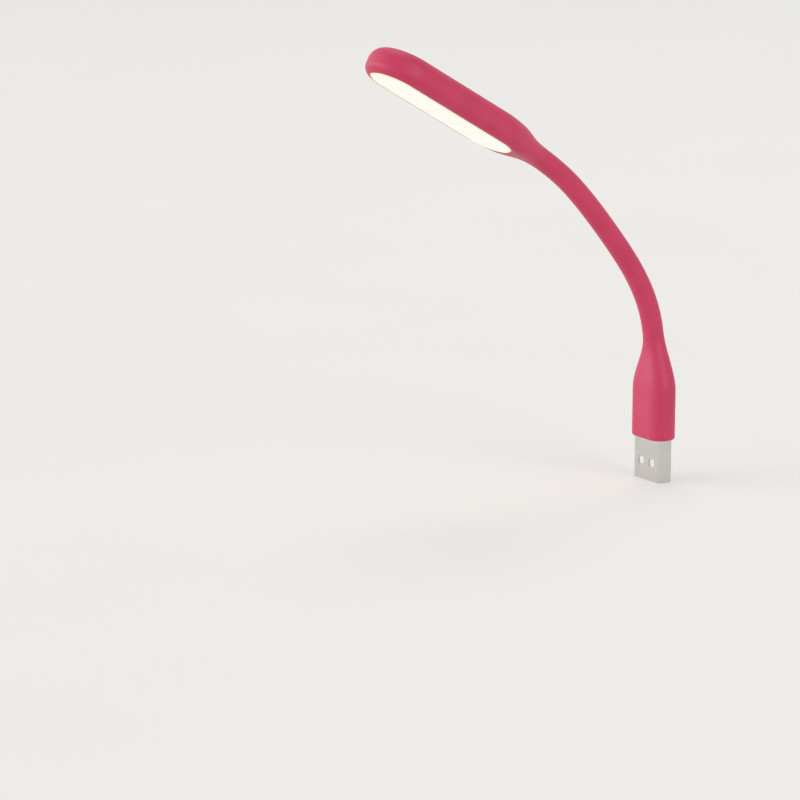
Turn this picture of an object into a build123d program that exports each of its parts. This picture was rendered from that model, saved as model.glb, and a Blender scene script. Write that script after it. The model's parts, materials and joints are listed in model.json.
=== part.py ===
from build123d import *
import math
import os

# Flexible usb light: a plug in a flat soft grip, a round neck that stays where it is bent, and a
# flat head with six lamps behind a milky window. All sizes are millimetres.
#
# The origin is the middle of the grip's foot, where the plug's shell leaves it. +Z runs up the
# grip, Y is the wide way of plug, grip and head, and the neck leans over towards -X.

# Plug
SHELL_WIDE = 12.0
SHELL_THICK = 4.5
SHELL_WALL = 0.3
SHELL_CORNER = 0.6
SHELL_OUT = 12.0  # length that stands out of the grip
SHELL_IN = 6.7  # length held inside the grip
LATCH_WIDE = 2.5
LATCH_LONG = 2.2
LATCH_SPACING = 5.1
LATCH_FROM_TIP = 5.2
MOUTH_DEEP = 9.0  # depth of the mouth that takes the socket's tongue
TONGUE_BACK = 0.4  # the tongue stops this far inside the shell's edge
BLOCK_BACK = 1.2  # the insulator's block stops this far inside the shell's inner end
CONTACT_WIDE = 1.0
CONTACT_THICK = 0.3
CONTACT_PROUD = 0.1  # the contacts stand this far out of the tongue
POWER_BARE = 7.4  # bare length of the two outer contacts in the mouth
DATA_BARE = 6.4
POWER_PLACE = 3.5  # outer contacts, from the middle
DATA_PLACE = 1.0
TAIL_OUT = 3.2  # solder tail behind the insulator's block
PLUG_SOLDER = 0.65  # radius of the solder on a tail

# Grip
GRIP_WIDE = 14.5
GRIP_THICK = 8.2
GRIP_STRAIGHT = 13.5  # height up to where the shoulder starts
FOOT_ROUND = 0.7
FOOT_SKIN = 1.2  # soft skin under the hard core
CORE_SKIN = 0.75  # soft skin round the hard core
CORE_CORNER = 2.4
CORE_TOP = 16.5
CORE_BEVEL = 1.2
CHAMBER_WIDE = 9.6  # room in the core for the solder joints
CHAMBER_THICK = 3.6
CHAMBER_TOP = 13.8
RIB_WIDE = 1.8  # rib across the chamber, which holds the wire's flat end
RIB_DEEP = 4.2

# Neck
NECK_RADIUS = 2.9
NECK_BORE = 2.0
NECK_STARTS = 29.0  # distance along the centre line where the grip's shoulder ends
RISE = 20.0  # straight stretch of the centre line above the foot
FIRST_STATION = 31.0  # distance along the centre line to the first bending station
LINK_LONG = 7.0  # from one bending station to the next
LINK_GAP = 0.25  # clearance between a ball end and the socket over it
BALL_STEPS = 5  # straight steps that stand for the quarter round of a ball or a socket

# Radius of the neck's rest curve in the shoulder, in each link and in the head's tail. A link's
# sleeve is straight between the two stations that it joins; its wires follow the curve.
SHOULDER_CURVE = 62.0
LINK_CURVES = (39.0, 46.0, 65.0, 143.0, 290.0, 220.0, 122.0, 62.0)
TAIL_CURVE = 79.0

# Wires inside the neck
WIRE_RADIUS = 0.7
WIRE_IN_HEAD = 5.0  # straight end of the wire past the head's curved tail
FLAT_WIDE = 2.6  # the lower end is coined flat, so that it can't turn
FLAT_THICK = 0.7
FLAT_LONG = 3.6
LEAD_RADIUS = 0.45
STRAND_RADIUS = 0.22
STRAND_SIDES = 6  # seven strands lie in a hexagon
ROUND_SIDES = 8  # flats that stand for the round of the wire and of a lead
STRAND_GAP = 0.02
LEAD_PLACE = 1.3  # each lead's distance from the neck's centre line
STRIPPED = 1.8  # bare strands at each end of a lead
FAN_LONG = 4.4  # the leads spread to the outer contacts over this height
LEAD_RISE = 0.4  # the leads step up to the board by this much
STEP_LONG = 3.0

# Head
HEAD_TWIST = 4.6  # degrees that the head is turned about the neck's end
HEAD_WIDE = 20.0
HEAD_THICK = 7.9
TOP_ROUND = 3.8
UNDER_ROUND = 2.6
TAIL_LONG = 12.2  # curved stretch of the head behind the last station
TAPER_STARTS = 6.0  # from the last station to where the neck starts to widen
WIDENING = 21.5  # the head gets its full width over this length
THICKENING_STARTS = 11.0  # from the last station to where the neck starts to thicken
THICKENING = 8.0
BODY_LONG = 55.4  # straight stretch of the head, to its tip
TOP_SKIN = 1.1
HEAD_BORE = 2.1

# Window and tray
WINDOW_START = 6.3  # from the end of the head's curved tail
WINDOW_LONG = 47.0
WINDOW_WIDE = 14.6
WINDOW_THICK = 1.2
WINDOW_PROUD = 0.1  # the window's face stands this far out of the skin's face
WINDOW_BEVEL = 0.3
TRAY_WALL = 1.2
TRAY_FLOOR = 0.9
TRAY_LEDGE = 0.8  # the window rests on this much of the tray's wall
SNOUT_LONG = 6.0
SNOUT_RADIUS = 2.6

# Board
BOARD_MARGIN = 0.4  # gap between the board's edge and the tray
BOARD_THICK = 1.0
LED_COUNT = 6
LED_FIRST = 2.9  # from the end of the leads' strands to the middle of the first lamp
LED_LAST = 4.3  # from the middle of the last lamp to the far end of the board
LED_LONG = 3.5
LED_WIDE = 2.8
LED_THICK = 0.8
PATCH_SIDE = 2.0  # square glowing patch in a lamp's face
PATCH_DEEP = 0.15
RESISTOR_LONG = 3.2
RESISTOR_WIDE = 1.6
RESISTOR_THICK = 0.5
CAP_LONG = 0.5  # metal end of a resistor
CAP_PROUD = 0.05
RESISTOR_PLACE = 4.0  # from the board's middle line
RESISTOR_BACK = 5.0  # from the near end of the board
PAD_BACK = 4.4  # from the near end of the board to the end of a lead's strands
BOARD_SOLDER = 1.2  # radius of the solder on a pad

# Clearances
SEAT = 0.05  # between rigid pieces that are seated in each other
LOOSE = 0.25  # round strands that end at the head's solder, where the neck's bending moves them

# A taper is a ruled loft in this many steps. Its round end is cut into eight arcs, so that each
# arc has its partner among the sides and corners of an oblong.
TAPER_STEPS = 8
FLAT_ARC = 12.0  # half the arc, in degrees, that becomes a flat side
ROUNDEST = 0.97  # largest corner of an oblong, as a share of half its thickness

# Directions that the routes turn about, by the right-hand rule
OVER = Vector(0, -1, 0)  # from +Z towards -X
ASIDE = Vector(1, 0, 0)  # from +Z towards -Y


def across(edge, share):
    """Section plane on a stretch: x is the outer side of the bend, y the wide way."""
    tangent = edge % share
    return Plane(edge @ share, x_dir=tangent.cross(OVER), z_dir=tangent)


def turn(edge, about, radius, length):
    """Next stretch of a route: an arc about a direction, the other way for a negative radius."""
    start = edge @ 1
    centre = start + about.cross(edge % 1) * radius
    swing = (start - centre).rotate(Axis((0, 0, 0), about), math.degrees(length / radius))
    return Edge.make_tangent_arc(start, edge % 1, centre + swing)


def run_on(edge, length):
    """Next stretch of a route: straight on."""
    return Edge.make_line(edge @ 1, edge @ 1 + (edge % 1) * length)


def sidestep(edge, about, shift, length):
    """Next two stretches of a route: arcs that move it aside, over a length along it."""
    radius = (length**2 + shift**2) / (4 * shift)
    arc = 2 * math.atan(abs(shift) / length) * abs(radius)
    first = turn(edge, about, radius, arc)
    return [first, turn(first, about, -radius, arc)]


def centre_line(aside=0.0):
    """Stretches of the neck's centre line, or of a line beside it: rise to the head's tail."""
    line = [Edge.make_line((0, aside, CHAMBER_TOP), (0, aside, RISE))]
    line.append(turn(line[-1], OVER, SHOULDER_CURVE, FIRST_STATION - RISE))
    for radius in LINK_CURVES:
        line.append(turn(line[-1], OVER, radius, LINK_LONG))
    line.append(turn(line[-1], OVER, TAIL_CURVE, TAIL_LONG))
    return line


LINE = centre_line()
LINKS = [Edge.make_line(curve @ 0, curve @ 1) for curve in LINE[2:-1]]
FIRST = across(LINE[1], 1)
LAST = across(LINE[-1], 0)
LAST_STATION = FIRST_STATION + LINK_LONG * len(LINKS)
HEAD = across(LINE[-1], 1)
# Inside the head u runs to its tip, v across it, and w up to its back
DECK = Plane(HEAD.origin, x_dir=HEAD.z_dir, z_dir=HEAD.x_dir)
TWIST_AXIS = Axis(LAST.origin, LAST.z_dir)

# Heights in the head, measured along w
WINDOW_BACK = WINDOW_THICK - WINDOW_PROUD - HEAD_THICK / 2
TRAY_BACK = HEAD_THICK / 2 - TOP_SKIN
TRAY_DECK = TRAY_BACK - TRAY_FLOOR
BOARD_FACE = TRAY_DECK - BOARD_THICK

# Lengths and widths in the head
WINDOW_MIDDLE = WINDOW_START + WINDOW_LONG / 2
ROOM_LONG = WINDOW_LONG - 2 * TRAY_LEDGE
ROOM_WIDE = WINDOW_WIDE - 2 * TRAY_LEDGE
TRAY_START = WINDOW_MIDDLE - ROOM_LONG / 2 - TRAY_WALL
BOARD_LONG = ROOM_LONG - 2 * BOARD_MARGIN
BOARD_START = WINDOW_MIDDLE - BOARD_LONG / 2

TAIL_TOP = SHELL_IN - BLOCK_BACK + TAIL_OUT
CONTACTS = {
    "vbus": (-POWER_PLACE, POWER_BARE),
    "data_minus": (-DATA_PLACE, DATA_BARE),
    "data_plus": (DATA_PLACE, DATA_BARE),
    "ground": (POWER_PLACE, POWER_BARE),
}


def place(distance):
    """Section plane at a distance from the foot, along a line that runs on straight in the head."""
    if distance <= RISE:
        return Plane.XY.offset(distance)
    distance -= RISE
    for stretch in LINE[1:]:
        if distance <= stretch.length:
            return across(stretch, distance / stretch.length)
        distance -= stretch.length
    return HEAD.offset(distance)


def oblong(wide, thick, upper, under):
    """Section with its wide way along y, and its own corner radius on each side of x."""
    roundest = ROUNDEST * min(wide, thick) / 2
    sharp = Rectangle(thick, wide)
    section = fillet(sharp.vertices().group_by(Axis.X)[-1], min(upper, roundest))
    return fillet(section.vertices().group_by(Axis.X)[0], min(under, roundest))


def round_section(radius):
    """Circle in eight arcs."""
    arcs = []
    for quarter in range(4):
        arcs.append(CenterArc((0, 0), radius, 90 * quarter - FLAT_ARC, 2 * FLAT_ARC))
        arcs.append(CenterArc((0, 0), radius, 90 * quarter + FLAT_ARC, 90 - 2 * FLAT_ARC))
    return make_face(arcs)


def ease(share):
    """Share of a change that starts and ends gently."""
    share = min(max(share, 0), 1)
    return share * share * (3 - 2 * share)


def taper(start, end, thick_start, thick_end, wide, thick, upper, under):
    """Loft from the round neck at one distance to an oblong section at another."""
    sections = [place(start) * round_section(NECK_RADIUS)]
    for step in range(1, TAPER_STEPS + 1):
        distance = start + (end - start) * step / TAPER_STEPS
        widened = ease((distance - start) / (end - start))
        thickened = ease((distance - thick_start) / (thick_end - thick_start))
        section = oblong(
            2 * NECK_RADIUS + (wide - 2 * NECK_RADIUS) * widened,
            2 * NECK_RADIUS + (thick - 2 * NECK_RADIUS) * thickened,
            NECK_RADIUS + (upper - NECK_RADIUS) * thickened,
            NECK_RADIUS + (under - NECK_RADIUS) * thickened,
        )
        sections.append(place(distance) * section)
    return loft(sections, ruled=True)


def rod(route, radius, sides=0):
    """Bar along a route, round or with so many flat sides."""
    section = RegularPolygon(radius, sides) if sides else Circle(radius)
    return sweep(across(route[0], 0) * section, path=Wire(route))


def block(thick, wide, low, high):
    """Box about the plug's axis, between two heights."""
    return Pos(0, 0, (low + high) / 2) * Box(thick, wide, high - low)


def half_round(radius, length):
    """Bar along z with its flat side on x = 0."""
    section = Circle(radius) & Pos(radius, 0) * Rectangle(2 * radius, 2 * radius)
    return extrude(section, length)


def slab(long, wide, low, high):
    """Round-ended plate in the head, centred on the window, between two heights."""
    return DECK * Pos(WINDOW_MIDDLE, 0, low) * extrude(SlotOverall(long, wide), high - low)


def usb_shell():
    """Folded steel tube of the plug, with two latch windows in each wide side."""
    outer = RectangleRounded(SHELL_THICK, SHELL_WIDE, SHELL_CORNER)
    shell = Pos(0, 0, -SHELL_OUT) * extrude(outer, SHELL_OUT + SHELL_IN)
    shell = chamfer(shell.faces().sort_by(Axis.Z)[0].edges(), SHELL_WALL / 2)
    bore = RectangleRounded(
        SHELL_THICK - 2 * SHELL_WALL, SHELL_WIDE - 2 * SHELL_WALL, SHELL_CORNER - SHELL_WALL
    )
    shell -= Pos(0, 0, -SHELL_OUT) * extrude(bore, SHELL_OUT + SHELL_IN)
    latch = Box(2 * SHELL_THICK, LATCH_WIDE, LATCH_LONG)
    for side in (-1, 1):
        shell -= Pos(0, side * LATCH_SPACING / 2, LATCH_FROM_TIP - SHELL_OUT) * latch
    return shell


def contact_strip(aside, bare, grow=0.0):
    """One contact, from its bare end in the mouth to its solder tail, or the slot for it."""
    strip = block(
        CONTACT_THICK + 2 * grow,
        CONTACT_WIDE + 2 * grow,
        MOUTH_DEEP - SHELL_OUT - bare - grow,
        TAIL_TOP + grow,
    )
    return Pos(-STRAND_RADIUS - CONTACT_THICK / 2, aside, 0) * strip


def contact(aside, bare):
    """Contact with a ramp at its bare end, so that it slides onto the socket's own contact."""
    strip = contact_strip(aside, bare)
    ends = strip.edges().filter_by(Axis.Y).group_by(Axis.Z)[0]
    return chamfer(ends.sort_by(Axis.X)[-1], CONTACT_THICK / 2)


def plug_insulator():
    """Block that fills the shell behind the mouth, with the tongue that carries the contacts."""
    wide = SHELL_WIDE - 2 * SHELL_WALL - 2 * SEAT
    thick = SHELL_THICK - 2 * SHELL_WALL - 2 * SEAT
    floor = MOUTH_DEEP - SHELL_OUT
    face = -STRAND_RADIUS - CONTACT_PROUD
    depth = face + thick / 2
    tongue = Pos(face - depth / 2, 0, 0) * block(depth, wide, TONGUE_BACK - SHELL_OUT, floor)
    insulator = block(thick, wide, floor, SHELL_IN - BLOCK_BACK) + tongue
    inside = RectangleRounded(thick, wide, SHELL_CORNER - SHELL_WALL)
    insulator &= Pos(0, 0, -SHELL_OUT) * extrude(inside, SHELL_OUT + SHELL_IN)
    for aside, bare in CONTACTS.values():
        insulator -= contact_strip(aside, bare, SEAT)
    return insulator


def plug_solder():
    """Solder on each power contact's tail, round the strands that lie on it."""
    low = TAIL_TOP - STRIPPED
    joint = Pos(-STRAND_RADIUS, 0, low) * half_round(PLUG_SOLDER, STRIPPED)
    joint -= Pos(0, 0, low) * Cylinder(STRAND_RADIUS + STRAND_GAP, 4 * STRIPPED)
    return [Pos(0, aside, 0) * joint for aside in (-POWER_PLACE, POWER_PLACE)]


def core_outside(grow=0.0):
    """Outside of the grip's hard core, or the room for it in the skin."""
    wide = GRIP_WIDE - 2 * CORE_SKIN + 2 * grow
    thick = GRIP_THICK - 2 * CORE_SKIN + 2 * grow
    low = FOOT_SKIN - grow
    corner = CORE_CORNER + grow
    core = Pos(0, 0, low) * extrude(oblong(wide, thick, corner, corner), CORE_TOP + grow - low)
    return chamfer(core.faces().sort_by(Axis.Z)[-1].edges(), CORE_BEVEL)


def flat_end(grow=0.0):
    """Coined lower end of the neck's wire, or the slot for it in the core."""
    low = CHAMBER_TOP - FLAT_LONG
    return block(FLAT_WIDE + 2 * grow, FLAT_THICK + 2 * grow, low - grow, CHAMBER_TOP + grow)


def shell_room():
    """Room for the plug's shell in the grip."""
    wide = SHELL_WIDE + 2 * SEAT
    thick = SHELL_THICK + 2 * SEAT
    return extrude(RectangleRounded(thick, wide, SHELL_CORNER + SEAT), SHELL_IN + SEAT)


def grip_core():
    """Hard moulding that holds the shell's inner end, the leads' fan and the wire's flat end."""
    chamber = block(CHAMBER_THICK, CHAMBER_WIDE, SHELL_IN, CHAMBER_TOP)
    rib = block(CHAMBER_THICK, RIB_WIDE, CHAMBER_TOP - RIB_DEEP, CHAMBER_TOP)
    outlet = Pos(0, 0, CORE_TOP) * Cylinder(NECK_BORE, 2 * (CORE_TOP - CHAMBER_TOP))
    return core_outside() - shell_room() - (chamber - rib) - outlet - flat_end(SEAT)


def grip_skin():
    """Soft skin of the grip: foot, straight part, bottle shoulder and the neck's first ball."""
    foot = oblong(GRIP_WIDE, GRIP_THICK, GRIP_THICK, GRIP_THICK)
    skin = extrude(foot, GRIP_STRAIGHT)
    skin = fillet(skin.faces().sort_by(Axis.Z)[0].edges(), FOOT_ROUND)
    span = (NECK_STARTS, GRIP_STRAIGHT)
    skin += taper(*span, *span, GRIP_WIDE, GRIP_THICK, GRIP_THICK, GRIP_THICK)
    stub = LINE[1].trim((NECK_STARTS - RISE) / LINE[1].length, 1)
    skin += rod([stub], NECK_RADIUS)
    skin += FIRST * ball(NECK_RADIUS)
    bore = rod(LINE[:2], NECK_BORE) + FIRST * extrude(Circle(NECK_BORE), NECK_RADIUS)
    return skin - core_outside(SEAT) - shell_room() - bore


def ball(radius):
    """Ball about a bending station, or the hollow over it, with its round in straight steps."""
    half = RegularPolygon(radius, 4 * BALL_STEPS) & Pos(radius, 0) * Rectangle(2 * radius, 2 * radius)
    return revolve(Plane.XZ * half, Axis.Z)


def neck_sleeve(link):
    """Stretch of the soft sleeve: a ball at its far end, and a socket over the ball before it."""
    near = across(link, 0)
    far = across(link, 1)
    sleeve = rod([link], NECK_RADIUS) + far * ball(NECK_RADIUS)
    bore = rod([link], NECK_BORE) + far * extrude(Circle(NECK_BORE), NECK_RADIUS)
    return sleeve - bore - near * ball(NECK_RADIUS + LINK_GAP)


def support_wire():
    """Soft steel wire that keeps the neck where it is bent."""
    line = centre_line()
    line.append(run_on(line[-1], WIRE_IN_HEAD))
    return rod(line, WIRE_RADIUS, ROUND_SIDES) + flat_end()


def lead_route(side, bare):
    """Route of a lead or of its strands, which are longer by their bare ends."""
    upper = centre_line(side * LEAD_PLACE)
    foot = Vector(0, side * POWER_PLACE, TAIL_TOP + SEAT - bare)
    knee = Vector(0, side * POWER_PLACE, CHAMBER_TOP - FAN_LONG)
    lower = [Edge.make_line(foot, knee)]
    lower += sidestep(lower[0], ASIDE, side * (POWER_PLACE - LEAD_PLACE), FAN_LONG)
    straight = BOARD_START + PAD_BACK - STRIPPED - 2 * STEP_LONG
    upper.append(run_on(upper[-1], straight))
    upper += sidestep(upper[-1], OVER, -LEAD_RISE, STEP_LONG)
    upper.append(run_on(upper[-1], STEP_LONG + bare))
    return lower + upper


def lead(side):
    """Insulation of one lead."""
    route = lead_route(side, 0.0)
    return rod(route, LEAD_RADIUS, ROUND_SIDES) - rod(route, STRAND_RADIUS + STRAND_GAP, STRAND_SIDES)


def strands(side):
    """Copper of one lead."""
    return rod(lead_route(side, STRIPPED), STRAND_RADIUS, STRAND_SIDES)


def tray_outside(grow=0.0):
    """Outside of the head's hard tray with its snout, or the room for it in the skin."""
    shape = slab(
        ROOM_LONG + 2 * TRAY_WALL + 2 * grow,
        ROOM_WIDE + 2 * TRAY_WALL + 2 * grow,
        WINDOW_BACK - grow,
        TRAY_BACK + grow,
    )
    start = TRAY_START - SNOUT_LONG - grow
    return shape + extrude(HEAD.offset(start) * Circle(SNOUT_RADIUS + grow), SNOUT_LONG + TRAY_WALL)


def head_tray():
    """Hard white tray that carries the board and the window, and reflects the light."""
    room = slab(ROOM_LONG, ROOM_WIDE, WINDOW_BACK - HEAD_THICK, TRAY_DECK)
    inlet = extrude(HEAD.offset(TRAY_START - SNOUT_LONG) * Circle(HEAD_BORE), SNOUT_LONG + 2 * TRAY_WALL)
    return tray_outside() - room - inlet


def head_skin():
    """Soft skin of the head: socket over the neck's last ball, taper, flat body and round tip."""
    section = oblong(HEAD_WIDE, HEAD_THICK, TOP_ROUND, UNDER_ROUND)
    opens = LAST_STATION + TAPER_STARTS
    thickens = LAST_STATION + THICKENING_STARTS
    start = TAPER_STARTS + WIDENING - TAIL_LONG
    middle = BODY_LONG - HEAD_WIDE / 2
    skin = rod([LINE[-1].trim(0, TAPER_STARTS / TAIL_LONG)], NECK_RADIUS)
    span = (opens, opens + WIDENING, thickens, thickens + THICKENING)
    skin += taper(*span, HEAD_WIDE, HEAD_THICK, TOP_ROUND, UNDER_ROUND)
    skin += extrude(HEAD.offset(start) * section, middle - start)
    half = section & Pos(0, HEAD_WIDE / 2) * Rectangle(2 * HEAD_THICK, HEAD_WIDE)
    tip = HEAD.offset(middle)
    skin += revolve(tip * half, Axis(tip.origin, tip.x_dir), 180)
    opening = slab(
        WINDOW_LONG + 2 * SEAT, WINDOW_WIDE + 2 * SEAT, -HEAD_THICK, WINDOW_BACK
    )
    bore = rod([LINE[-1], run_on(LINE[-1], TRAY_START)], HEAD_BORE)
    skin = skin - tray_outside(SEAT) - opening - bore
    return skin - LAST * ball(NECK_RADIUS + LINK_GAP)


def diffuser():
    """Milky window, seated in the skin and resting on the tray's wall."""
    window = slab(WINDOW_LONG, WINDOW_WIDE, WINDOW_BACK - WINDOW_THICK, WINDOW_BACK)
    rim = window.faces().sort_by(Axis(DECK.origin, DECK.z_dir))[0].edges()
    return chamfer(rim, WINDOW_BEVEL)


def led_board():
    """Circuit board, glued to the tray's floor."""
    return slab(BOARD_LONG, ROOM_WIDE - 2 * BOARD_MARGIN, BOARD_FACE, TRAY_DECK)


def led(number):
    """Lamp on the board, with its square glowing patch sunk in its face."""
    first = BOARD_START + PAD_BACK + LED_FIRST
    last = BOARD_START + BOARD_LONG - LED_LAST
    along = first + (last - first) * (number - 1) / (LED_COUNT - 1)
    package = Pos(0, 0, -LED_THICK / 2) * Box(LED_LONG, LED_WIDE, LED_THICK)
    package -= Pos(0, 0, -LED_THICK) * Box(PATCH_SIDE, PATCH_SIDE, 2 * PATCH_DEEP)
    return DECK * Pos(along, 0, BOARD_FACE) * package


def resistor(side):
    """Chip resistor with a metal cap on each end."""
    chip = Box(RESISTOR_LONG, RESISTOR_WIDE, RESISTOR_THICK)
    for end in (-1, 1):
        cap = Box(CAP_LONG, RESISTOR_WIDE + 2 * CAP_PROUD, RESISTOR_THICK + 2 * CAP_PROUD)
        chip += Pos(end * (RESISTOR_LONG - CAP_LONG) / 2, 0, 0) * cap
    along = BOARD_START + RESISTOR_BACK
    down = BOARD_FACE - RESISTOR_THICK / 2 - CAP_PROUD
    return DECK * Pos(along, side * RESISTOR_PLACE, down) * chip


def board_solder():
    """Solder on the board's two pads, with room for the strands that end in it."""
    length = STRIPPED
    start = BOARD_START + PAD_BACK - length
    joint = Pos(BOARD_FACE, 0, start) * Rot(0, 0, 180) * half_round(BOARD_SOLDER, length)
    joint -= Pos(LEAD_RISE, 0, start) * Cylinder(STRAND_RADIUS + LOOSE, 4 * length)
    return [HEAD * Pos(0, side * LEAD_PLACE, 0) * joint for side in (-1, 1)]


def save(node, shape, twisted=False):
    """Write one piece under its name; what belongs to the head is turned with it."""
    pieces = shape if isinstance(shape, list) else [shape]
    solids = [solid for piece in pieces for solid in piece.solids()]
    if twisted:
        solids = [solid.rotate(TWIST_AXIS, HEAD_TWIST) for solid in solids]
    whole = solids[0] if len(solids) == 1 else Compound(children=solids)
    export_step(whole, f"parts/{node}.step")


os.makedirs("parts", exist_ok=True)

save("usb_shell", usb_shell())
save("plug_insulator", plug_insulator())
for name, (aside, bare) in CONTACTS.items():
    save(f"contact_{name}", contact(aside, bare))
save("plug_solder", plug_solder())
save("grip_core", grip_core())
save("grip_skin", grip_skin())
save("support_wire", support_wire())
for colour, side in (("red", -1), ("black", 1)):
    save(f"{colour}_lead", lead(side))
    save(f"{colour}_strands", strands(side))
for number, link in enumerate(LINKS, 1):
    save(f"neck_sleeve_{number}", neck_sleeve(link))
save("head_skin", head_skin(), twisted=True)
save("head_tray", head_tray(), twisted=True)
save("diffuser", diffuser(), twisted=True)
save("led_board", led_board(), twisted=True)
for number in range(1, LED_COUNT + 1):
    save(f"led_{number}", led(number), twisted=True)
for number, side in enumerate((-1, 1), 1):
    save(f"resistor_{number}", resistor(side), twisted=True)
save("board_solder", board_solder(), twisted=True)
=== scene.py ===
import bpy
import json
import math
from mathutils import Matrix, Vector

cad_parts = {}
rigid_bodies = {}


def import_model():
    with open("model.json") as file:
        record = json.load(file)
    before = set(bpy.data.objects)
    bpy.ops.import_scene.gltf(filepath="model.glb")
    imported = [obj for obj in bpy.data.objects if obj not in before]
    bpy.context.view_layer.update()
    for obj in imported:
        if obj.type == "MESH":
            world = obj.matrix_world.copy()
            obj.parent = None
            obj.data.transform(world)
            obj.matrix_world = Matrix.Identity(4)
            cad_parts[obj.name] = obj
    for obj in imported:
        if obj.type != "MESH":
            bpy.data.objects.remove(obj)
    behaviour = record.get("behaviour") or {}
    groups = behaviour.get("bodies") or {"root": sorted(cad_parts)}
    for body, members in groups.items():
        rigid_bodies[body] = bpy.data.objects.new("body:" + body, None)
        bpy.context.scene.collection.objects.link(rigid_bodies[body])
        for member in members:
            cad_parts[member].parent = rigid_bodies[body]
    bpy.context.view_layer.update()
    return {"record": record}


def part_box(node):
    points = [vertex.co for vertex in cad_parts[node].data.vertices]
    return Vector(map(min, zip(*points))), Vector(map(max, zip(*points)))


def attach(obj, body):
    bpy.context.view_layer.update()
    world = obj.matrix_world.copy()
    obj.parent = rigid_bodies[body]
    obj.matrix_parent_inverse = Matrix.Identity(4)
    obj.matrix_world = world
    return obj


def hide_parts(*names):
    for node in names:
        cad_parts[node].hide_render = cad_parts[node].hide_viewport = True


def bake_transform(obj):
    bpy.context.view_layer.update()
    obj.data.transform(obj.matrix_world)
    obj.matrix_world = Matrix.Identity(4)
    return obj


# Flexible usb light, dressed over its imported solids. Pieces are modelled in millimetres in the
# frame of the solids, and set to metres when they are done: +Z up the grip, Y its wide way, the
# neck leans over towards -X. A distance along the neck is measured from the grip's foot.

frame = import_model()
scene = bpy.context.scene
scene.view_settings.view_transform = "Standard"

# Grip
GRIP_WIDE = 14.5
GRIP_THICK = 8.2
GRIP_STRAIGHT = 13.5
FOOT_ROUND = 0.7
FULL_ROUND = 0.97  # largest corner, as a share of half the thickness
SHELL_ROOM = (4.6, 12.1, 6.75)  # thickness, width and depth of the room for the plug's shell
SHELL_CORNER = 0.65
CORE_ROOM = (6.8, 13.1, 1.15, 16.55)  # thickness, width, low and high end of the room for the core
CORE_CORNER = 2.4
CORE_BEVEL = 1.2
FAN_STARTS = 9.4  # height at which the leads start to close in from the outer contacts
FAN_ENDS = 13.8
TAIL_TOP = 8.7  # height at which the leads' insulation starts
WIRE_LOW = 10.2  # height of the neck wire's lower end
COINED = (0.5, 1.8, 1.0)  # how that end is pressed flat, along each axis
STRIPPED = 1.8  # copper that stands out of a lead's insulation at each end

# Neck
NECK_RADIUS = 2.9
NECK_BORE = 2.0
RISE = 20.0  # height at which the centre line starts to lean over
NECK_STARTS = 29.0
FIRST_STATION = 31.0
LINK_LONG = 7.0
SHOULDER_CURVE = (62.0, 11.0)  # radius and length
LINK_CURVES = (39.0, 46.0, 65.0, 143.0, 290.0, 220.0, 122.0, 62.0)  # radii
TAIL_CURVE = (79.0, 12.2)  # radius and length
CURVES = (SHOULDER_CURVE, *((radius, LINK_LONG) for radius in LINK_CURVES), TAIL_CURVE)
LAST_STATION = FIRST_STATION + LINK_LONG * len(LINK_CURVES)
HALF_LINK = LINK_LONG / 2

# Head
HEAD_TWIST = math.radians(4.6)  # turn about the last station
HEAD_WIDE = 20.0
HEAD_THICK = 7.9
TOP_ROUND = 3.8
UNDER_ROUND = 2.6
HEAD_STARTS = LAST_STATION + HALF_LINK
TAPER_STARTS = LAST_STATION + 6.0
WIDENING = 21.5
THICKENING_STARTS = LAST_STATION + 11.0
THICKENING = 8.0
BODY_STARTS = LAST_STATION + TAIL_CURVE[1]
BODY_LONG = 55.4
HEAD_BORE = 2.1

# Window and the tray behind it, measured from the end of the head's curved tail
WINDOW_START = 6.3
WINDOW_LONG = 47.0
WINDOW_WIDE = 14.6
WINDOW_THICK = 1.2
WINDOW_PROUD = 0.1
BETWEEN_LAMPS = 0.1  # half of how far the window's glow falls between two lamps
WINDOW_MIDDLE = WINDOW_START + WINDOW_LONG / 2
WINDOW_BACK = WINDOW_THICK - WINDOW_PROUD - HEAD_THICK / 2
TRAY_LONG = 47.8
TRAY_WIDE = 15.4
TRAY_BACK = HEAD_THICK / 2 - 1.1
SNOUT_RADIUS = 2.6  # of the tray's round snout, by which the wires come in
SNOUT_LONG = 6.0
SEAT = 0.05  # play round the window, the tray and its snout

# Wires in the neck
WIRE_RADIUS = 0.7
LEAD_RADIUS = 0.45
STRAND_RADIUS = 0.22
LEAD_PLACE = 1.3  # distance from the middle of the neck
POWER_PLACE = 3.5  # the outer contacts' distance from the middle
LEAD_STEPS = 4.1  # from the end of the head's curved tail to where a lead steps up to the board
STEP_LONG = 3.0
LEAD_RISE = 0.4
WIRE_IN_HEAD = 5.0

# How finely shapes are made
RING_SIDES = 64
BORE_SIDES = 32
WIRE_SIDES = 12
RING_STEP = 0.5  # distance between rings along a bend
TAPER_RINGS = 14
TIP_STEPS = 48
CORNER_SEGMENTS = 16
FOOT_SEGMENTS = 6
PAST = 1.0  # how far a cutter stands past the face that it opens
NEAR = 0.001  # how near to a plane a point counts as in it
DOUBLES = 0.0005  # how near to each other points are merged
SHARP_EDGE = math.radians(35)
RELIEF = 0.3  # strength of every finish's fine relief
MM = 0.001

# Studio, in metres
FLOOR_HIGH = -12.0  # height of the plug's tip, in millimetres
FLOOR_WIDE = 40.0
LIT_MIDDLE = (-0.03, 0.0, 0.05)
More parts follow.
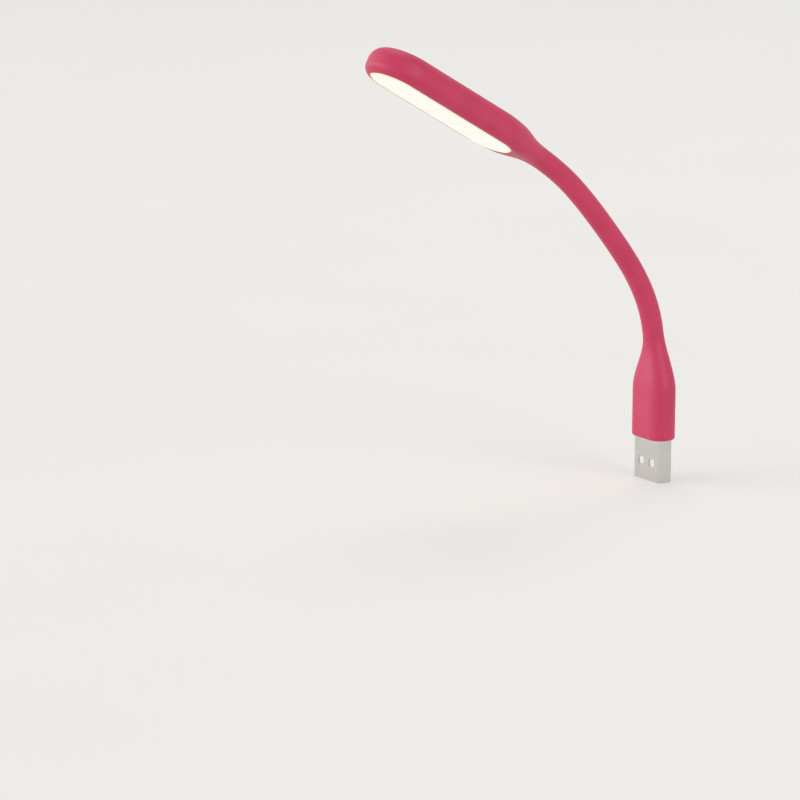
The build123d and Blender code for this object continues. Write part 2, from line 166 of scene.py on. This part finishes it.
# name, place, width and power of each soft lamp
LAMPS = (
    ("fill", (0.5, -3.0, 1.1), 2.0, 34.0),
    ("top", (0.5, 1.0, 2.8), 1.3, 13.0),
)
WORLD_LIGHT = 0.46  # strength of the world's even light
SIDE_LIGHT = 4.3  # what its broad low panel of light adds to that at its middle
SIDE = (-0.87, 0.49, 0.0)  # towards that panel
SIDE_FLATNESS = 2.2  # how much wider it is than high
SIDE_EDGE = 0.5  # cosine at which it has faded out
FLOOR_GLOW = 0.2  # what the camera sees of the floor beyond its own light

# Camera, worked out from the photograph; its place is in millimetres
SENSOR = 36.0
LENS = 156.45
CLIP_START = 0.01
CAMERA_PLACE = (-545.43, -774.50, 207.40)
CAMERA_RIGHT = (0.85860, -0.51263, 0.00408)
CAMERA_UP = (0.10136, 0.17757, 0.97888)
CAMERA_BACK = (-0.50252, -0.84005, 0.20443)

# dark tone, light tone and roughness of each moulded plastic
PLASTICS = {
    "plug_plastic": ((233, 232, 228), (240, 239, 235), 0.4),
    "core_plastic": ((228, 228, 222), (236, 236, 231), 0.5),
    "red_insulation": ((186, 32, 28), (200, 44, 38), 0.4),
    "black_insulation": ((26, 26, 27), (38, 38, 40), 0.4),
    "tray_plastic": ((240, 240, 238), (246, 246, 244), 0.5),
    "board": ((226, 230, 222), (236, 238, 232), 0.35),
    "lamp_package": ((240, 226, 150), (246, 238, 190), 0.3),
    "resistor_body": ((28, 28, 30), (44, 44, 46), 0.45),
}
# the same of each metal, and how its grain is stretched
METALS = {
    "plated_steel": ((200, 199, 197), (214, 213, 211), 0.22, (1, 1, 0.03)),
    "contact_metal": ((206, 172, 98), (222, 190, 116), 0.25, (1, 1, 0.1)),
    "solder": ((168, 170, 174), (190, 192, 196), 0.4, (1, 1, 1)),
    "wire_steel": ((140, 142, 144), (162, 163, 165), 0.35, (1, 1, 0.1)),
    "copper": ((198, 118, 82), (214, 138, 100), 0.3, (1, 1, 0.1)),
}


def centre_line(distance):
    """Point of the neck's centre line at a distance from the foot, and its lean there."""
    point = Vector((0, 0, min(distance, RISE)))
    lean = 0.0
    left = distance - RISE
    for radius, length in CURVES:
        step = min(max(left, 0), length)
        turned = lean + step / radius
        swing = Vector((math.cos(turned) - math.cos(lean), 0, math.sin(turned) - math.sin(lean)))
        point += swing * radius
        lean = turned
        left -= length
    point += Vector((-math.sin(lean), 0, math.cos(lean))) * max(left, 0)
    return point, lean


def section(distance):
    """Frame of a section: x to the outer side of the bend, y the wide way, z along the neck."""
    point, lean = centre_line(distance)
    return Matrix.Translation(point) @ Matrix.Rotation(-lean, 4, "Y")


HEAD_FRAME = section(BODY_STARTS)
LAST = section(LAST_STATION)
TWIST = LAST @ Matrix.Rotation(HEAD_TWIST, 4, "Z") @ LAST.inverted()


def deselect():
    bpy.ops.object.select_all(action="DESELECT")


def activate(*pieces):
    deselect()
    for piece in pieces:
        piece.select_set(True)
    bpy.context.view_layer.objects.active = pieces[0]


def edit(piece, mode):
    """Open a piece for editing with nothing selected."""
    activate(piece)
    bpy.ops.object.mode_set(mode="EDIT")
    bpy.ops.mesh.select_mode(type=mode)
    bpy.ops.mesh.select_all(action="DESELECT")


def leave():
    bpy.ops.object.mode_set(mode="OBJECT")


def pick(parts, wanted):
    """Select the vertices or edges that are wanted, by their place."""
    leave()
    for part in parts:
        part.select = wanted(part)
    bpy.ops.object.mode_set(mode="EDIT")


def place(piece, matrix):
    """Put a piece in its place, with the place in its mesh."""
    piece.matrix_world = matrix
    activate(piece)
    bpy.ops.object.transform_apply(location=True, rotation=True, scale=True)


def modify(piece, kind, **settings):
    """Add one modifier and apply it."""
    modifier = piece.modifiers.new(kind.lower(), kind)
    for name, value in settings.items():
        setattr(modifier, name, value)
    activate(piece)
    bpy.ops.object.modifier_apply(modifier=modifier.name)


def cut(piece, *cutters):
    """Take cutters out of a piece."""
    for cutter in cutters:
        modify(piece, "BOOLEAN", operation="DIFFERENCE", object=cutter, solver="EXACT")
        bpy.data.objects.remove(cutter)


def outward(piece):
    """Merge doubles and turn all faces outwards."""
    edit(piece, "VERT")
    bpy.ops.mesh.select_all(action="SELECT")
    bpy.ops.mesh.remove_doubles(threshold=DOUBLES)
    bpy.ops.mesh.normals_make_consistent(inside=False)
    leave()


def coat(piece, slot):
    """Give a piece the finish of its slot and no other."""
    piece.data.materials.clear()
    piece.data.materials.append(FINISHES[slot])


def finish(piece, name, slot):
    """Name a piece, set it to metres, and give it its shading and the finish of its slot."""
    outward(piece)
    piece.name = name
    piece.data.name = name
    place(piece, Matrix.Scale(MM, 4))
    activate(piece)
    bpy.ops.object.shade_smooth_by_angle(angle=SHARP_EDGE)
    modify(piece, "WEIGHTED_NORMAL", mode="FACE_AREA_WITH_ANGLE", keep_sharp=True)
    coat(piece, slot)
    return piece


def outline(thick, wide, upper, under):
    """Oblong outline, its wide way along y, with its own corners on each side of x."""
    deselect()
    bpy.ops.mesh.primitive_plane_add(size=1)
    ring = bpy.context.object
    place(ring, Matrix.Diagonal((thick, wide, 1, 1)))
    roundest = FULL_ROUND * min(thick, wide) / 2
    how = {"affect": "VERTICES", "segments": CORNER_SEGMENTS, "clamp_overlap": False}
    for side, corner in ((1, upper), (-1, under)):
        edit(ring, "VERT")
        pick(ring.data.vertices, lambda vertex: abs(vertex.co.x * side - thick / 2) < NEAR)
        bpy.ops.mesh.bevel(offset=min(corner, roundest), **how)
        leave()
    return ring


def open_outline(distance, thick, wide, upper, under):
    """Outline without its face, in its place along the neck."""
    ring = outline(thick, wide, upper, under)
    edit(ring, "FACE")
    bpy.ops.mesh.select_all(action="SELECT")
    bpy.ops.mesh.delete(type="ONLY_FACE")
    leave()
    place(ring, section(distance))
    return ring


def plate(thick, wide, corner, low, high):
    """Solid of one oblong outline between two heights."""
    solid = outline(thick, wide, corner, corner)
    edit(solid, "FACE")
    bpy.ops.mesh.select_all(action="SELECT")
    bpy.ops.mesh.extrude_region_move(TRANSFORM_OT_translate={"value": (0, 0, high - low)})
    leave()
    place(solid, Matrix.Translation((0, 0, low)))
    outward(solid)
    return solid


def slab(long, wide, low, high):
    """Round-ended plate in the head's frame, centred on the window, between two heights."""
    solid = plate(long, wide, wide / 2, low, high)
    place(solid, Matrix.Translation((0, 0, WINDOW_MIDDLE)) @ Matrix.Rotation(math.pi / 2, 4, "Y"))
    return solid


def bridge(rings):
    """One skin over a row of outlines."""
    activate(*rings)
    bpy.ops.object.join()
    skin = bpy.context.object
    edit(skin, "EDGE")
    bpy.ops.mesh.select_all(action="SELECT")
    bpy.ops.mesh.bridge_edge_loops()
    leave()
    return skin


def bevel_end(piece, height, width, segments):
    """Bevel the edge round a piece's flat end at a height."""
    edit(piece, "EDGE")
    points = piece.data.vertices

    def at_end(edge):
        return all(abs(points[end].co.z - height) < NEAR for end in edge.vertices)

    pick(piece.data.edges, at_end)
    bpy.ops.mesh.bevel(offset=width, segments=segments, affect="EDGES")
    leave()


def close(skin):
    """Close every opening of a skin with a flat face."""
    edit(skin, "EDGE")
    bpy.ops.mesh.select_non_manifold()
    bpy.ops.mesh.fill_holes(sides=0)
    leave()
    outward(skin)


def start_ring(radius, sides, at):
    """Round ring in a frame, across its z, ready to be drawn out along it."""
    deselect()
    bpy.ops.mesh.primitive_circle_add(vertices=sides, radius=radius)
    ring = bpy.context.object
    place(ring, at)
    edit(ring, "EDGE")
    bpy.ops.mesh.select_all(action="SELECT")
    return ring


def draw_on(at, length):
    """Draw the selected ring straight on, and give the frame at its new end."""
    ahead = at.to_3x3() @ Vector((0, 0, length))
    bpy.ops.mesh.extrude_region_move(TRANSFORM_OT_translate={"value": ahead})
    return Matrix.Translation(ahead) @ at


def draw_round(at, towards, radius, length):
    """Draw the selected ring round an arc towards one side, and give the frame at its new end."""
    side = at.to_3x3() @ Vector(towards)
    centre = at.translation + side * radius
    axis = (at.to_3x3() @ Vector((0, 0, 1))).cross(side)
    angle = length / radius
    steps = max(2, round(length / RING_STEP))
    # spin turns against the right-hand rule
    bpy.ops.mesh.spin(steps=steps, angle=-angle, center=centre, axis=axis)
    about = Matrix.Translation(centre)
    return about @ Matrix.Rotation(angle, 4, axis) @ about.inverted() @ at


def draw_aside(at, towards, shift, length):
    """Draw the selected ring aside by two arcs, over a length along its route."""
    radius = (length**2 + shift**2) / (4 * shift)
    arc = 2 * math.atan(shift / length) * radius
    at = draw_round(at, towards, radius, arc)
    return draw_round(at, [-share for share in towards], radius, arc)


def draw_out(start, end, aside=0.0):
    """Draw the selected ring out along the centre line, or beside it, between two distances."""
    at = section(start) @ Matrix.Translation((0, aside, 0))
    low = RISE
    if start < RISE:
        at = draw_on(at, min(RISE, end) - start)
    for radius, length in CURVES:
        share = min(low + length, end) - max(low, start)
        if share > 1e-6:
            at = draw_round(at, (-1, 0, 0), radius, share)
        low += length
    if end > low:
        at = draw_on(at, end - max(low, start))
    return at


def tube(radius, sides, start, end, aside=0.0):
    """Skin of a tube along the neck."""
    ring = start_ring(radius, sides, section(start) @ Matrix.Translation((0, aside, 0)))
    draw_out(start, end, aside)
    leave()
    return ring


def bar(radius, sides, start, end, aside=0.0):
    """Closed bar along the neck."""
    solid = tube(radius, sides, start, end, aside)
    close(solid)
    return solid


class Value:
    """Output of a node, so that shader maths is written as sums."""

    def __init__(self, nodes, socket):
        self.nodes = nodes
        self.socket = socket

    def __add__(self, other):
        return self.nodes.maths("ADD", self, other)

    def __radd__(self, other):
        return self.nodes.maths("ADD", other, self)

    def __sub__(self, other):
        return self.nodes.maths("SUBTRACT", self, other)

    def __rsub__(self, other):
        return self.nodes.maths("SUBTRACT", other, self)

    def __mul__(self, other):
        return self.nodes.maths("MULTIPLY", self, other)

    def __rmul__(self, other):
        return self.nodes.maths("MULTIPLY", other, self)

    def __abs__(self):
        return self.nodes.maths("ABSOLUTE", self)

    def __pow__(self, power):
        return self.nodes.maths("POWER", self, power)

    def __rpow__(self, number):
        return self.nodes.maths("POWER", number, self)


class Nodes:
    """Nodes of one material or world."""

    def __init__(self, tree):
        self.tree = tree

    def add(self, kind, settings, values, output=0):
        """Add a node with its settings, and the values or links of its sockets."""
        node = self.tree.nodes.new(kind)
        for name, value in settings.items():
            if name == "stops":
                self.set_stops(node.color_ramp.elements, value)
            else:
                setattr(node, name, value)
        for name, value in values.items():
            self.connect(node.inputs[name], value)
        return Value(self, node.outputs[output])

    def set_stops(self, elements, stops):
        while len(elements) < len(stops):
            elements.new(1.0)
        for element, (position, colour) in zip(elements, stops):
            element.position = position
            element.color = self.tint(colour)

    def connect(self, socket, value):
        if isinstance(value, Value):
            self.tree.links.new(value.socket, socket)
        else:
            socket.default_value = value

    def tint(self, colour):
        return colour if isinstance(colour, Value) else (*colour, 1.0)

    def mix(self, share, first, second):
        """Mix two colours. The node's colour sockets come after those for numbers and vectors."""
        return self.add(
            "ShaderNodeMix",
            {"data_type": "RGBA"},
            {"Factor": share, 6: self.tint(first), 7: self.tint(second)},
            2,
        )

    def maths(self, operation, *values):
        return self.add("ShaderNodeMath", {"operation": operation}, dict(enumerate(values)))

    def vector_maths(self, operation, *vectors, output="Vector"):
        inputs = dict(enumerate(vectors))
        return self.add("ShaderNodeVectorMath", {"operation": operation}, inputs, output)

    def fade(self, value, low, high, top=1.0):
        """Smooth step from 0 to a top level, as a value goes from low to high."""
        return self.add(
            "ShaderNodeMapRange",
            {"interpolation_type": "SMOOTHSTEP"},
            {"Value": value, "From Min": low, "From Max": high, "To Max": top},
        )

    def looked_at(self):
        """1 for what the camera sees, straight on, in a reflection or through glass."""
        rays = ("Is Camera Ray", "Is Glossy Ray", "Is Transmission Ray")
        camera, glossy, through = (self.add("ShaderNodeLightPath", {}, {}, ray) for ray in rays)
        return camera + glossy + through


class Finish(Nodes):
    """Nodes of one finish, over the part's own coordinates, with what is plain all over."""

    def __init__(self, name, **plain):
        self.material = bpy.data.materials.new(name)
        self.material.use_nodes = True
        super().__init__(self.material.node_tree)
        self.shader = self.tree.nodes["Principled BSDF"]
        self.place = self.add("ShaderNodeTexCoord", {}, {}, "Object")
        for socket, value in plain.items():
            self.feed(socket.replace("_", " "), value)

    def feed(self, socket, value):
        self.connect(self.shader.inputs[socket], value)

    def noise(self, scale, detail=2.0, stretch=(1.0, 1.0, 1.0)):
        """Soft noise, in cells per millimetre, stretched where a finish has a grain."""
        at = self.add("ShaderNodeMapping", {}, {"Vector": self.place, "Scale": stretch})
        cells = {"Vector": at, "Scale": scale / MM, "Detail": detail}
        return self.add("ShaderNodeTexNoise", {}, cells)

    def cloud(self, scale, low=0.3):
        """Soft clouding, in clouds per millimetre."""
        return self.fade(self.noise(scale), low, 1 - low)

    def roughen(self, roughness, grain, spread):
        """Roughness about a middle value, which a grain varies by a spread."""
        self.feed("Roughness", roughness - spread / 2 + grain * spread)

    def bump(self, height, depth):
        """Fine relief of a depth in millimetres."""
        relief = {"Height": height, "Distance": depth * MM, "Strength": RELIEF}
        self.feed("Normal", self.add("ShaderNodeBump", {}, relief))


def srgb(red, green, blue):
    """Linear colour of a tone as it is seen on a screen."""
    levels = (red / 255, green / 255, blue / 255)
    return tuple(v / 12.92 if v <= 0.04045 else ((v + 0.055) / 1.055) ** 2.4 for v in levels)


def middle_of(node):
    """Middle of a solid, in millimetres."""
    low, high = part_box(node)
    return (Vector(low) + Vector(high)) / 2 / MM


def soft_skin():
    """Soft-touch pink moulding: satin, faintly clouded, with a fine matt grain."""
    look = Finish("soft_skin", IOR=1.43)
    grain = look.noise(5.0)
    base = look.mix(look.cloud(0.1, 0.35), srgb(200, 50, 89), srgb(205, 56, 95))
    look.feed("Base Color", look.mix(grain * 0.2, base, srgb(210, 78, 110)))
    look.roughen(0.47, grain, 0.1)
    look.bump(grain, 0.015)
    return look.material


def plain_plastic(name, dark, light, roughness):
    """Moulded plastic of two near tones with a fine grain."""
    look = Finish(name)
    grain = look.noise(4.0)
    look.feed("Base Color", look.mix(look.cloud(0.6), srgb(*dark), srgb(*light)))
    look.roughen(roughness, grain, 0.12)
    look.bump(grain, 0.01)
    return look.material


def worked_metal(name, dark, light, roughness, grain):
    """Metal with a fine drawn grain and the faintest clouding."""
    look = Finish(name, Metallic=1.0)
    lines = look.noise(8.0, 3.0, grain)
    worn = look.mix(look.cloud(0.25) * 0.35, srgb(*dark), srgb(*light))
    look.feed("Base Color", look.mix(lines * 0.5, worn, srgb(*light)))
    look.roughen(roughness, lines, 0.1)
    look.bump(lines, 0.002)
    return look.material


def milky_window():
    """Milky window lit from behind: whitest over each lamp, and warm at its rim."""
    plain = {"Roughness": 0.55, "Emission_Strength": 0.55, "Specular_IOR_Level": 0.3}
    look = Finish("milky_plastic", **plain)
    to_head = (TWIST @ HEAD_FRAME).inverted()
    turn = {"Rotation": to_head.to_euler(), "Location": to_head.translation * MM}
    inside = look.add("ShaderNodeMapping", {}, {"Vector": look.place, **turn})
    across = look.add("ShaderNodeSeparateXYZ", {}, {"Vector": inside}, "Y")
    ahead = look.add("ShaderNodeSeparateXYZ", {}, {"Vector": inside}, "Z")
    straight = (WINDOW_LONG - WINDOW_WIDE) / 2 * MM
    past_middle = abs(ahead - WINDOW_MIDDLE * MM) - straight
    beyond = look.maths("MAXIMUM", past_middle, 0.0)
    away = (across * across + beyond * beyond) ** 0.5
    stops = (
        (0.0, srgb(255, 254, 247)),
        (0.86, srgb(255, 253, 242)),
        (0.95, srgb(255, 244, 205)),
        (1.0, srgb(246, 218, 138)),
    )
    share = away * (2 / (WINDOW_WIDE * MM))
    glow = look.add("ShaderNodeValToRGB", {"stops": stops}, {"Fac": share})
    first, second = (to_head @ middle_of(lamp) for lamp in ("led_1", "led_2"))
    turns = (ahead - first.z * MM) * (2 * math.pi / ((second.z - first.z) * MM))
    between = (1 - look.maths("COSINE", turns)) * BETWEEN_LAMPS
    look.feed("Emission Color", look.mix(between, glow, srgb(214, 208, 190)))
    body = look.mix(look.noise(0.8), srgb(190, 188, 179), srgb(200, 198, 190))
    look.feed("Base Color", body)
    look.bump(look.noise(4.0), 0.01)
    return look.material


def lay_floor():
    """Plain pale floor, which the camera sees a little paler than its own light makes it."""
    deselect()
    bpy.ops.mesh.primitive_plane_add(size=FLOOR_WIDE)
    floor = bpy.context.object
    floor.name = "floor"
    place(floor, Matrix.Translation((0, 0, FLOOR_HIGH * MM)))
    plain = {"Roughness": 0.85, "Emission_Strength": FLOOR_GLOW, "Specular_IOR_Level": 0.2}
    pale = Finish("floor", **plain)
    body = pale.mix(pale.noise(0.01), srgb(234, 232, 228), srgb(238, 236, 233))
    pale.feed("Base Color", body)
    pale.feed("Emission Color", pale.mix(pale.looked_at(), (0, 0, 0), srgb(244, 243, 240)))
    floor.data.materials.append(pale.material)


def light_room():
    """Even soft light and one broad low panel of light, before a plain pale backdrop."""
    world = bpy.data.worlds.new("studio")
    world.use_nodes = True
    room = Nodes(world.node_tree)
    way = room.add("ShaderNodeTexCoord", {}, {}, "Generated")
    way = room.vector_maths("MULTIPLY", way, (1, 1, SIDE_FLATNESS))
    way = room.vector_maths("NORMALIZE", way)
    aside = room.vector_maths("DOT_PRODUCT", way, SIDE, output="Value")
    panel = room.fade(aside, SIDE_EDGE, 1.0, SIDE_LIGHT)
    camera = room.add("ShaderNodeLightPath", {}, {}, "Is Camera Ray")
    white = {"Color": (1, 1, 1, 1), "Strength": panel + WORLD_LIGHT}
    pale = {"Color": (*srgb(236, 235, 232), 1), "Strength": panel * (1 - camera) + 1}
    light = room.add("ShaderNodeBackground", {}, white)
    backdrop = room.add("ShaderNodeBackground", {}, pale)
    both = room.add("ShaderNodeMixShader", {}, {0: room.looked_at(), 1: light, 2: backdrop})
    room.connect(world.node_tree.nodes["World Output"].inputs["Surface"], both)
    scene.world = world


def stand_up(name, data, matrix):
    """Put a lamp or the camera in its place."""
    stand = bpy.data.objects.new(name, data)
    scene.collection.objects.link(stand)
    stand.matrix_world = matrix
    return stand


def hang_lamps():
    """Two broad soft lamps that look at the middle of the light."""
    for name, spot, wide, power in LAMPS:
        lamp = bpy.data.lights.new(name, "AREA")
        lamp.size = wide
        lamp.energy = power
        ahead = Vector(LIT_MIDDLE) - Vector(spot)
        turned = ahead.to_track_quat("-Z", "Y").to_matrix().to_4x4()
        stand_up(name, lamp, Matrix.Translation(spot) @ turned)


def set_camera():
    """Camera where the photograph was taken from."""
    camera = bpy.data.cameras.new("camera")
    camera.sensor_width = SENSOR
    camera.lens = LENS
    camera.clip_start = CLIP_START
    turned = Matrix((CAMERA_RIGHT, CAMERA_UP, CAMERA_BACK)).transposed().to_4x4()
    spot = Matrix.Translation(Vector(CAMERA_PLACE) * MM)
    scene.camera = stand_up("camera", camera, spot @ turned)


def part_way(first, last, share):
    return first + (last - first) * share


def taper_outline(distance, widens, thickens, wide, thick, upper, under):
    """Outline on the way from the round neck to an oblong section, each way over its own span."""
    widened = ease((distance - widens[0]) / (widens[1] - widens[0]))
    thickened = ease((distance - thickens[0]) / (thickens[1] - thickens[0]))
    return open_outline(
        distance,
        part_way(2 * NECK_RADIUS, thick, thickened),
        part_way(2 * NECK_RADIUS, wide, widened),
        part_way(NECK_RADIUS, upper, thickened),
        part_way(NECK_RADIUS, under, thickened),
    )


def ease(share):
    """Share of a change that starts and ends gently."""
    share = min(max(share, 0), 1)
    return share * share * (3 - 2 * share)


def skin_grip():
    """Soft skin of the grip, with its rounded foot and bottle shoulder."""
    corner = FULL_ROUND * GRIP_THICK / 2
    span = (NECK_STARTS, GRIP_STRAIGHT)
    shape = (span, span, GRIP_WIDE, GRIP_THICK, corner, corner)
    rings = [open_outline(0.0, GRIP_THICK, GRIP_WIDE, corner, corner)]
    for step in range(TAPER_RINGS + 1):
        distance = GRIP_STRAIGHT + (NECK_STARTS - GRIP_STRAIGHT) * step / TAPER_RINGS
        rings.append(taper_outline(distance, *shape))
    skin = bridge(rings)
    close(skin)
    bevel_end(skin, 0.0, FOOT_ROUND, FOOT_SEGMENTS)
    thick, wide, low, high = CORE_ROOM
    core = plate(thick, wide, CORE_CORNER, low, high)
    bevel_end(core, high, CORE_BEVEL, 1)
    thick, wide, deep = SHELL_ROOM
    shell = plate(thick, wide, SHELL_CORNER, -PAST, deep)
    bore = bar(NECK_BORE, BORE_SIDES, high - PAST, NECK_STARTS + PAST)
    cut(skin, core, shell, bore)
    skin = finish(skin, "grip_soft_skin", "soft_skin")
    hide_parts("grip_skin")
    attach(skin, "base")


def skin_head():
    """Soft skin of the head: taper, flat body, round tip and the window's opening."""
    to_head = HEAD_FRAME.inverted()
    widens = (TAPER_STARTS, TAPER_STARTS + WIDENING)
    thickens = (THICKENING_STARTS, THICKENING_STARTS + THICKENING)
    shape = (widens, thickens, HEAD_WIDE, HEAD_THICK, TOP_ROUND, UNDER_ROUND)
    middle = BODY_LONG - HEAD_WIDE / 2
    rings = [taper_outline(HEAD_STARTS, *shape)]
    for step in range(TAPER_RINGS + 1):
        rings.append(taper_outline(TAPER_STARTS + WIDENING * step / TAPER_RINGS, *shape))
    rings.append(taper_outline(BODY_STARTS + middle, *shape))
    skin = bridge(rings)
    place(skin, to_head)
    edit(skin, "VERT")
    pick(skin.data.vertices, lambda vertex: vertex.co.y > 0 and abs(vertex.co.z - middle) < NEAR)
    bpy.ops.mesh.spin(steps=TIP_STEPS, angle=-math.pi, center=(0, 0, middle), axis=(1, 0, 0))
    leave()
    outward(skin)
    close(skin)
    opening = slab(WINDOW_LONG + 2 * SEAT, WINDOW_WIDE + 2 * SEAT, -HEAD_THICK, WINDOW_BACK)
    tray = slab(TRAY_LONG + 2 * SEAT, TRAY_WIDE + 2 * SEAT, WINDOW_BACK - SEAT, TRAY_BACK + SEAT)
    tray_start = BODY_STARTS + WINDOW_MIDDLE - TRAY_LONG / 2
    snout_start = tray_start - SNOUT_LONG - SEAT
    snout = bar(SNOUT_RADIUS + SEAT, BORE_SIDES, snout_start, tray_start + PAST)
    bore = bar(HEAD_BORE, BORE_SIDES, HEAD_STARTS - PAST, tray_start)
    for inner in (snout, bore):
        place(inner, to_head)
    cut(skin, opening, tray, snout, bore)
    place(skin, TWIST @ HEAD_FRAME)
    skin = finish(skin, "head_soft_skin", "soft_skin")
    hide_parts("head_skin")
    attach(skin, "head")


def blend_over(piece, start, end):
    """Set a piece's place into its mesh. The centre line's points at the two distances are worked
    out but not used.
    """
    low, high = (centre_line(distance)[0] * MM for distance in (start, end))
    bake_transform(piece)


def stretches():
    """Number, start and end of each stretch of the neck, from mid link to mid link."""
    for station in range(len(LINK_CURVES) + 1):
        middle = FIRST_STATION + LINK_LONG * station
        start = NECK_STARTS if station == 0 else middle - HALF_LINK
        yield station, start, middle + HALF_LINK


def skin_neck():
    """The soft sleeve, one stretch for each station at which it bends."""
    for station, start, end in stretches():
        piece = tube(NECK_RADIUS, RING_SIDES, start, end)
        outward(piece)
        modify(piece, "SOLIDIFY", thickness=NECK_RADIUS - NECK_BORE, offset=-1.0, use_rim=True)
        piece = finish(piece, f"neck_{station + 1}", "soft_skin")
        if station < len(LINK_CURVES):
            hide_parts(f"neck_sleeve_{station + 1}")
        blend_over(piece, start, end)


def thread_neck(name, radius, aside, slot, ends):
    """A wire, a lead or its copper along the neck: stretches between two rigid ends."""
    for part, body, end in zip(("grip", "head"), ("base", "head"), ends):
        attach(finish(end, f"{name}_in_{part}", slot), body)
    for station, start, end in stretches():
        piece = bar(radius, WIRE_SIDES, start, end, aside)
        blend_over(finish(piece, f"{name}_{station + 1}", slot), start, end)
    return ends[0]


def drawn(solid):
    """Finish a drawn bar as a closed solid."""
    leave()
    close(solid)
    return solid


def wire_ends():
    """The neck wire's lower end, with its coined flat, and its straight end in the head."""
    lower = bar(WIRE_RADIUS, WIRE_SIDES, WIRE_LOW, NECK_STARTS)
    edit(lower, "VERT")
    pick(lower.data.vertices, lambda vertex: vertex.co.z < WIRE_LOW + NEAR)
    bpy.ops.transform.resize(value=COINED, center_override=(0, 0, WIRE_LOW))
    leave()
    upper = bar(WIRE_RADIUS, WIRE_SIDES, HEAD_STARTS, BODY_STARTS + WIRE_IN_HEAD)
    place(upper, TWIST)
    return lower, upper


def lead_ends(radius, side, bare):
    """A lead's fan in the grip and its step up to the board, or those of its copper."""
    at = Matrix.Translation((0, side * POWER_PLACE, TAIL_TOP - bare))
    lower = start_ring(radius, WIRE_SIDES, at)
    at = draw_on(at, FAN_STARTS - TAIL_TOP + bare)
    draw_aside(at, (0, -side, 0), POWER_PLACE - LEAD_PLACE, FAN_ENDS - FAN_STARTS)
    draw_out(FAN_ENDS, NECK_STARTS, side * LEAD_PLACE)
    lower = drawn(lower)
    aside = Matrix.Translation((0, side * LEAD_PLACE, 0))
    upper = start_ring(radius, WIRE_SIDES, section(HEAD_STARTS) @ aside)
    at = draw_out(HEAD_STARTS, BODY_STARTS + LEAD_STEPS, side * LEAD_PLACE)
    at = draw_aside(at, (1, 0, 0), LEAD_RISE, STEP_LONG)
    draw_on(at, STEP_LONG + bare)
    upper = drawn(upper)
    place(upper, TWIST)
    return lower, upper


def wire_up():
    """The support wire and both leads, each lead with its copper."""
    first = thread_neck("wire", WIRE_RADIUS, 0.0, "wire_steel", wire_ends())
    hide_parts("support_wire")
    for colour, side in (("red", -1), ("black", 1)):
        for part, radius, bare, slot in (
            ("lead", LEAD_RADIUS, 0.0, f"{colour}_insulation"),
            ("strands", STRAND_RADIUS, STRIPPED, "copper"),
        ):
            name = f"{colour}_{part}"
            ends = lead_ends(radius, side, bare)
            first = thread_neck(f"{name}_run", radius, side * LEAD_PLACE, slot, ends)
            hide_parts(name)


set_camera()
lay_floor()
light_room()
hang_lamps()

FINISHES = {"soft_skin": soft_skin(), "milky_plastic": milky_window()}
for name, tones in PLASTICS.items():
    FINISHES[name] = plain_plastic(name, *tones)
for name, tones in METALS.items():
    FINISHES[name] = worked_metal(name, *tones)

skin_grip()
skin_neck()
skin_head()
wire_up()

for row in frame["record"]["subparts"]:
    coat(bpy.data.objects[row["node"]], row["material_slot"])
